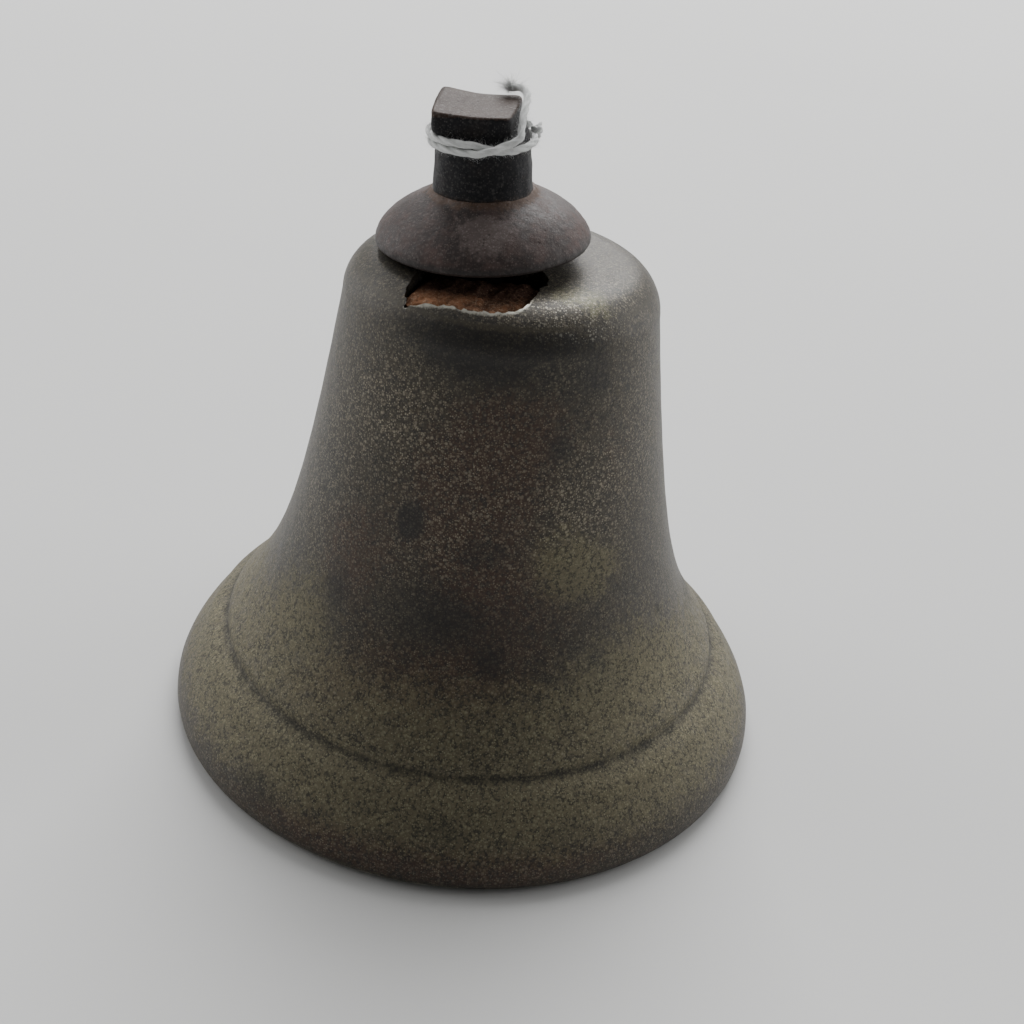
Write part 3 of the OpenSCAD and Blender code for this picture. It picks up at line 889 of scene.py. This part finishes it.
def near_polyline(xy, line):
    """Distance in plan from each point to the nearest of the line's own closely spaced points."""
    line = spaced(line, 0.25)
    return np.sqrt(((xy[:, None] - line[None]) ** 2).sum(-1).min(1))


def paint_bell(piece):
    """Stores the patches with a painted shade along the groove; the worn metal on the lip's lower edge, the
    bead and the notch's front edge; painted glints and the pale places right of the notch; the inside."""
    p = points_of(piece) / MM
    r, z, azimuth = np.hypot(p[:, 0], p[:, 1]), p[:, 2], np.degrees(np.arctan2(p[:, 0], -p[:, 1]))
    outside = (r > inner_r(np.minimum(z, 77)) + WALL * 0.55) | (z > BELL_H - CROWN_T * 0.5)
    for name, ellipses in (("dark", DARK), ("brown", BROWN), ("olive", OLIVE), ("speck", SPECK)):
        # Painted shade: a dark band along the groove, added to the dark patches' mask.
        groove_shade = 0.75 * np.exp(-((z - GROOVE_Z) / 0.8) ** 2) if name == "dark" else 0.0
        set_attribute(piece, name, (patches(p, ellipses) + groove_shade) * outside)
    knocked = 0.35 + 0.65 * np.exp(-((azimuth + 18) / 30) ** 2)
    wear = knocked * np.exp(-((z - 0.8) / 0.6) ** 2) * (r > LIP_R - 4.5)
    wear += 0.2 * np.exp(-((z - GROOVE_Z + 2.4) / 0.6) ** 2) * outside
    top = np.flatnonzero((z > BELL_H - 9) & outside & (p[:, 1] < 0))
    gap = near_polyline(p[top, :2], NOTCH_PLAN[3:10])
    wear[top] += 1.15 * np.exp(-(gap / 0.45) ** 2)
    # Painted glints: a patch of bright metal grains on the crown right of the notch.
    right = np.exp(-(((p[:, 0] - 9) / 9) ** 2 + ((p[:, 1] + 18.5) / 3.2) ** 2) ** 1.5) * (z > 78) * outside
    pale = np.exp(-(((p[:, 0] - 11) / 5) ** 2 + ((p[:, 1] + 14) / 3.5) ** 2) ** 1.5) * (z > 80) * outside
    set_attribute(piece, "wear", wear)
    set_attribute(piece, "sparkle", right)
    set_attribute(piece, "pale", pale)
    set_attribute(piece, "inside", 1.0 - outside)


paint_bell(bell)
print("bell masks stored:", [layer.name for layer in bell.data.attributes if layer.data_type == "FLOAT"])

# %% [markdown]
# The bronze itself: a dark brown skin, the stored patches laid over it with noisy edges, then dark
# grains and pale specks, then bright metal on the worn edges and as painted glints right of the notch.
# Olive patina is drier and bright metal smoother, so those two masks change the roughness, and a little bump
# gives the sand-cast grain.

# %% Bronze
SKIN_WARM, SKIN_COOL, SKIN_BROWN = (0.045, 0.038, 0.028), (0.036, 0.033, 0.027), (0.056, 0.031, 0.021)
SKIN_OLIVE, SKIN_DARK, INSIDE_SKIN = (0.165, 0.147, 0.090), (0.019, 0.018, 0.0175), (0.055, 0.048, 0.034)
SPECK_BEIGE, SPECK_OLIVE = (0.31, 0.27, 0.195), (0.29, 0.265, 0.165)
WORN_METAL_AND_GLINT, PALE_GREEN = (0.34, 0.33, 0.285), (0.125, 0.12, 0.055)


def make_bronze():
    material, tree, shader, where = new_material("patinated_bronze", 0.5, 0.3)
    shader.inputs["Specular IOR Level"].default_value = 0.4
    grain = use_group(tree, GRAIN, {"Vector": where, "Size": 0.28 * MM, "Rarity": 1.7})
    cloud = maths(tree, "SUBTRACT", noise(tree, where, 2.4, 6.0, 0.68), 0.5)
    crumb = maths(tree, "SUBTRACT", noise(tree, where, 0.55, 3.0, 0.7), 0.5)
    ragged = maths(tree, "ADD", maths(tree, "MULTIPLY", cloud, 1.5), maths(tree, "MULTIPLY", crumb, 1.1))
    masks = {}
    for name, low, high in (("dark", 0.25, 1.0), ("brown", 0.15, 1.05), ("olive", 0.15, 1.1)):
        masks[name] = ramp(tree, maths(tree, "ADD", attribute(tree, name), ragged), low, high)
    drift = use_group(tree, BLOTCHES, {"Vector": where, "Size": 14 * MM, "Cover": 0.5, "Softness": 0.25})
    skin = mixed(tree, drift["Mask"], SKIN_WARM, SKIN_COOL)
    skin = mixed(tree, maths(tree, "MULTIPLY", masks["brown"], 0.8), skin, SKIN_BROWN)
    skin = mixed(tree, maths(tree, "MULTIPLY", masks["olive"], 0.7), skin, SKIN_OLIVE)
    skin = mixed(tree, maths(tree, "MULTIPLY", masks["dark"], 0.85), skin, SKIN_DARK)
    pale = ramp(tree, maths(tree, "ADD", attribute(tree, "pale"), ragged), 0.2, 1.1)
    skin = mixed(tree, maths(tree, "MULTIPLY", pale, 0.75), skin, PALE_GREEN)
    soot = maths(tree, "MULTIPLY", ramp(tree, grain["Height"], 0.52, 0.24), 0.75)
    skin = mixed(tree, soot, skin, SKIN_DARK)
    density = maths(tree, "ADD", maths(tree, "MULTIPLY", attribute(tree, "speck"), 0.55), 0.42)
    density = maths(tree, "ADD", density, maths(tree, "MULTIPLY", ragged, 0.55))
    not_dark = maths(tree, "SUBTRACT", 1.0, maths(tree, "MULTIPLY", masks["dark"], 0.7))
    density = maths(tree, "MULTIPLY", density, not_dark)
    specks = maths(tree, "MULTIPLY", grain["Speck"], density, clamp=True)
    skin = mixed(tree, specks, skin, mixed(tree, masks["olive"], SPECK_BEIGE, SPECK_OLIVE))
    worn = maths(tree, "ADD", attribute(tree, "wear"), maths(tree, "MULTIPLY", ragged, 0.9))
    wear = ramp(tree, worn, 0.35, 1.0)
    # Painted glints: bright metal grains where the sparkle mask is high, mixed in with the worn metal.
    glint = ramp(tree, maths(tree, "ADD", grain["Speck"], ragged), 0.25, 0.95)
    sparkle = maths(tree, "MULTIPLY", maths(tree, "MULTIPLY", attribute(tree, "sparkle"), glint), 0.7)
    worn_metal_and_glints = maths(tree, "MAXIMUM", wear, sparkle)
    skin = mixed(tree, worn_metal_and_glints, skin, WORN_METAL_AND_GLINT)
    skin = mixed(tree, maths(tree, "MULTIPLY", attribute(tree, "inside"), 0.75), skin, INSIDE_SKIN)
    tree.links.new(skin, shader.inputs["Base Color"])
    rough = maths(tree, "ADD", 0.48, maths(tree, "MULTIPLY", ragged, 0.10))
    rough = maths(tree, "ADD", rough, maths(tree, "MULTIPLY", masks["olive"], 0.2))
    rough = maths(tree, "SUBTRACT", rough, maths(tree, "MULTIPLY", worn_metal_and_glints, 0.1))
    tree.links.new(rough, shader.inputs["Roughness"])
    tree.links.new(maths(tree, "ADD", 0.25, maths(tree, "MULTIPLY", worn_metal_and_glints, 0.5)), shader.inputs["Metallic"])
    pits = use_group(tree, PITS, {"Vector": where, "Size": 1.6 * MM, "Share": 0.10})
    height = maths(tree, "ADD", grain["Height"], maths(tree, "MULTIPLY", ragged, 0.6))
    height = maths(tree, "SUBTRACT", height, maths(tree, "MULTIPLY", pits["Depth"], 0.5))
    bumped(tree, shader, height, 0.07, 0.6)
    return material


cover(bell, make_bronze())


# %% [markdown]
# Iron shows three main finishes: the flange's dry red-brown skin with a rubbed front, the
# blackened neck and head, and orange rust on the plate. The iron inside the bell lies between
# them. Each is a dark metal with rust over it in blotches, so one function makes them all.

# %% Iron
def make_iron(
    name, dark, rust, bright, rust_cover, grain_mm, roughness, speck=0.4, bump_mm=0.12, zones=(), gloss=0.5,
):
    """Dark metal, rust in two sizes of blotch, bright grains and dark pits. Each zone is the name
    of a mask on the mesh, the colour where that mask is high, and how many more grains show there."""
    material, tree, shader, where = new_material(name, roughness, 0.1)
    shader.inputs["Specular IOR Level"].default_value = gloss
    grain = use_group(tree, GRAIN, {"Vector": where, "Size": grain_mm * MM, "Rarity": 2.2})
    big = use_group(tree, BLOTCHES, {"Vector": where, "Size": 4 * MM, "Cover": rust_cover, "Softness": 0.22})
    inputs = {"Vector": where, "Size": 1.0 * MM, "Cover": rust_cover * 0.8, "Softness": 0.15}
    small = use_group(tree, BLOTCHES, inputs)
    wide, spotted = maths(tree, "MULTIPLY", big["Mask"], 0.7), maths(tree, "MULTIPLY", small["Mask"], 0.4)
    rusted = maths(tree, "ADD", wide, spotted, clamp=True)
    skin = mixed(tree, rusted, dark, rust)
    amount = speck
    for mask, colour, glitter in zones:
        frayed = maths(tree, "MULTIPLY", maths(tree, "SUBTRACT", small["Cloud"], 0.5), 1.4)
        edge = maths(tree, "ADD", attribute(tree, mask), frayed)
        part = ramp(tree, edge, 0.25, 0.85)
        skin = mixed(tree, part, skin, mixed(tree, maths(tree, "MULTIPLY", big["Cloud"], 0.5), colour, dark))
        amount = maths(tree, "ADD", amount, maths(tree, "MULTIPLY", part, glitter))
    skin = mixed(tree, maths(tree, "MULTIPLY", grain["Speck"], amount, clamp=True), skin, bright)
    pits = use_group(tree, PITS, {"Vector": where, "Size": 0.7 * MM, "Share": 0.22})
    skin = mixed(tree, maths(tree, "MULTIPLY", pits["Depth"], 0.55), skin, tuple(0.4 * c for c in dark))
    tree.links.new(skin, shader.inputs["Base Color"])
    rough = maths(tree, "ADD", roughness - 0.08, maths(tree, "MULTIPLY", rusted, 0.16))
    tree.links.new(rough, shader.inputs["Roughness"])
    height = maths(tree, "ADD", grain["Height"], maths(tree, "MULTIPLY", big["Cloud"], 1.2))
    height = maths(tree, "SUBTRACT", height, maths(tree, "MULTIPLY", pits["Depth"], 0.8))
    bumped(tree, shader, height, bump_mm, 0.7)
    return material


def along_bolt(piece):
    """Each point in the leaning frame: across, across, and height along the bolt."""
    p = points_of(piece) / MM - RIM
    c, s = math.cos(LEAN), math.sin(LEAN)
    return np.stack([c * p[:, 0] + s * p[:, 2], p[:, 1], -s * p[:, 0] + c * p[:, 2]], -1)


flange_at, head_at = along_bolt(flange), along_bolt(stem)
flange_r = np.hypot(flange_at[:, 0], flange_at[:, 1])
from_rub = ((flange_at[:, 0] - 0.8) / 4.5) ** 2 + ((flange_r - 12) / 3.2) ** 2
set_attribute(flange, "rubbed", np.exp(-from_rub ** 1.5) * (flange_at[:, 1] < 0))
set_attribute(flange, "collar", 0.9 * np.exp(-((flange_r - NECK_BASE_R) / 1.3) ** 2))
# Painted shade: the flange's underside and lower rim are made darker, as if in their own shadow.
set_attribute(flange, "under", smoothstep(1.6, -0.2, flange_at[:, 2]))
set_attribute(stem, "top", smoothstep(HEAD_FRONT_H - 0.6, HEAD_FRONT_H + 0.1, head_at[:, 2]))
set_attribute(stem, "foot", 0.7 * smoothstep(FLANGE_TOP + 1.6, FLANGE_TOP, head_at[:, 2]))
cover(flange, make_iron(
    "flange_iron", dark=(0.036, 0.027, 0.025), rust=(0.082, 0.053, 0.047), bright=(0.22, 0.18, 0.165),
    rust_cover=0.70, grain_mm=0.28, roughness=0.60, speck=0.42, bump_mm=0.06, gloss=0.35,
    zones=[
        ("collar", (0.105, 0.062, 0.040), 0.0),
        # Painted shade on the underside: darker colour and fewer bright grains.
        ("under", (0.026, 0.022, 0.021), -0.2),
        ("rubbed", (0.135, 0.105, 0.098), 0.55),
    ],
))
cover(stem, make_iron(
    "stem_iron", dark=(0.0135, 0.0135, 0.0155), rust=(0.030, 0.025, 0.024), bright=(0.13, 0.12, 0.11),
    rust_cover=0.40, grain_mm=0.28, roughness=0.60, speck=0.4, bump_mm=0.08, gloss=0.12,
    zones=[("top", (0.056, 0.034, 0.025), 0.35), ("foot", (0.05, 0.034, 0.025), 0.0)],
))
cover(shank, make_iron(
    "shank_iron", dark=(0.03, 0.026, 0.024), rust=(0.10, 0.06, 0.035), bright=(0.12, 0.1, 0.08),
    rust_cover=0.5, grain_mm=0.35, roughness=0.6,
))
# The crust darkens towards its back, under the flange: partly darker rust, partly painted shade.
crust_at = points_of(crust) / MM
for piece, mask in ((plate, 0.0), (crust, smoothstep(-16.5, -11.0, crust_at[:, 1]))):
    set_attribute(piece, "deep", mask + np.zeros(len(piece.data.vertices)))
PLATE_RUST = make_iron(
    "plate_rust", dark=(0.10, 0.052, 0.032), rust=(0.34, 0.165, 0.088), bright=(0.60, 0.42, 0.28),
    rust_cover=0.80, grain_mm=0.28, roughness=0.85, speck=0.55, bump_mm=0.12, gloss=0.2,
    # Back of the crust: darker rust with painted shade from the flange.
    zones=[("deep", (0.12, 0.062, 0.046), -0.1)],
)
for piece in (plate, crust):
    cover(piece, PLATE_RUST)
cover(nut, make_iron(
    "nut_rust", dark=(0.055, 0.036, 0.026), rust=(0.19, 0.090, 0.045), bright=(0.25, 0.14, 0.08),
    rust_cover=0.6, grain_mm=0.4, roughness=0.8, speck=0.4, bump_mm=0.15,
))
INNER_IRON = make_iron(
    "inner_iron", dark=(0.045, 0.038, 0.034), rust=(0.13, 0.075, 0.045), bright=(0.14, 0.11, 0.09),
    rust_cover=0.45, grain_mm=0.35, roughness=0.55,
)
for node in ("clapper_pin", "pin_washer", "split_pin", "clapper_rod", "ball_nut", "clapper_ball"):
    cover(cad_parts[node], INNER_IRON)


# %% [markdown]
# Cotton scatters light and shows its threads by the shadow between them. The fibres and the yarn
# share one off-white finish, a little grey where the string has been handled.

# %% Cotton
def make_cotton():
    material, tree, shader, where = new_material("white_cotton", 0.9)
    cloud = use_group(tree, BLOTCHES, {"Vector": where, "Size": 3 * MM, "Cover": 0.5, "Softness": 0.3})
    fine = use_group(tree, GRAIN, {"Vector": where, "Size": 0.15 * MM, "Rarity": 1.5})
    skin = mixed(tree, cloud["Mask"], (0.66, 0.67, 0.66), (0.50, 0.51, 0.50))
    skin = mixed(tree, maths(tree, "MULTIPLY", fine["Speck"], 0.3), skin, (0.40, 0.40, 0.39))
    tree.links.new(skin, shader.inputs["Base Color"])
    shader.inputs["Sheen Weight"].default_value = 0.15
    bumped(tree, shader, fine["Height"], 0.06, 0.6)
    return material


COTTON = make_cotton()
for piece in (yarn, fuzz, tuft, knot):
    cover(piece, COTTON)

# %% [markdown]
# The stage is a plain pale floor. Most light comes from one big soft box above and behind, which
# lays the bell's soft shadow in front of it. A weak box at each side and the glow of the world
# from behind light the bell's sides, and its middle stays dark.

# %% Floor, lights and world
def add_floor():
    bpy.ops.mesh.primitive_plane_add(size=6)
    floor = bpy.context.object
    floor.name = "floor"
    material, tree, shader, where = new_material("pale_floor", 0.75)
    cloud = noise(tree, where, 260, 2.0)
    tree.links.new(mixed(tree, cloud, (0.60, 0.60, 0.595), (0.66, 0.66, 0.65)), shader.inputs["Base Color"])
    cover(floor, material)
    return floor


def add_light(name, at, aim, size, watts, colour=(1, 1, 1)):
    """A square soft box at a place, turned to face another."""
    light = bpy.data.objects.new(name, bpy.data.lights.new(name, "AREA"))
    light.data.size, light.data.energy, light.data.color = size, watts, colour
    ahead = np.array(aim, float) - at
    ahead /= np.linalg.norm(ahead)
    side = np.cross(ahead, [0.02, 0.01, 1.0])
    side /= np.linalg.norm(side)
    matrix = np.eye(4)
    matrix[:3, :3] = np.array([side, np.cross(side, ahead), -ahead]).T
    matrix[:3, 3] = at
    light.matrix_world = Matrix(matrix.tolist())
    bpy.context.scene.collection.objects.link(light)


def set_world(dim, bright, backdrop):
    """Soft light from all round, dim from the front and bright from behind: the strength rises
    with the direction's y. The camera itself sees a plain backdrop."""
    world = bpy.data.worlds.new("studio")
    world.use_nodes = True
    tree = world.node_tree
    light = tree.nodes["Background"]
    direction = wire(tree, "ShaderNodeTexCoord").outputs["Generated"]
    y = wire(tree, "ShaderNodeSeparateXYZ", {0: direction}).outputs["Y"]
    inputs = {"Value": y, "From Min": -1.0, "From Max": 0.6, "To Min": dim, "To Max": bright}
    strength = wire(tree, "ShaderNodeMapRange", inputs)
    tree.links.new(strength.outputs["Result"], light.inputs["Strength"])
    light.inputs["Color"].default_value = (1, 1, 1, 1)
    plain = wire(tree, "ShaderNodeBackground", {"Color": (*backdrop, 1.0)})
    seen = wire(tree, "ShaderNodeLightPath").outputs["Is Camera Ray"]
    both = wire(tree, "ShaderNodeMixShader", {0: seen, 1: light.outputs[0], 2: plain.outputs[0]})
    tree.links.new(both.outputs[0], tree.nodes["World Output"].inputs["Surface"])
    bpy.context.scene.world = world


add_floor()
set_world(0.085, 0.40, (0.50, 0.50, 0.495))
add_light("overhead", (0.15, 1.7, 1.65), (0, 0, 0), 1.9, 92)
add_light("left_box", (-0.95, 0.3, 0.42), (0, 0, 0.05), 0.9, 6)
add_light("right_box", (0.95, 0.3, 0.42), (0, 0, 0.05), 0.9, 6)
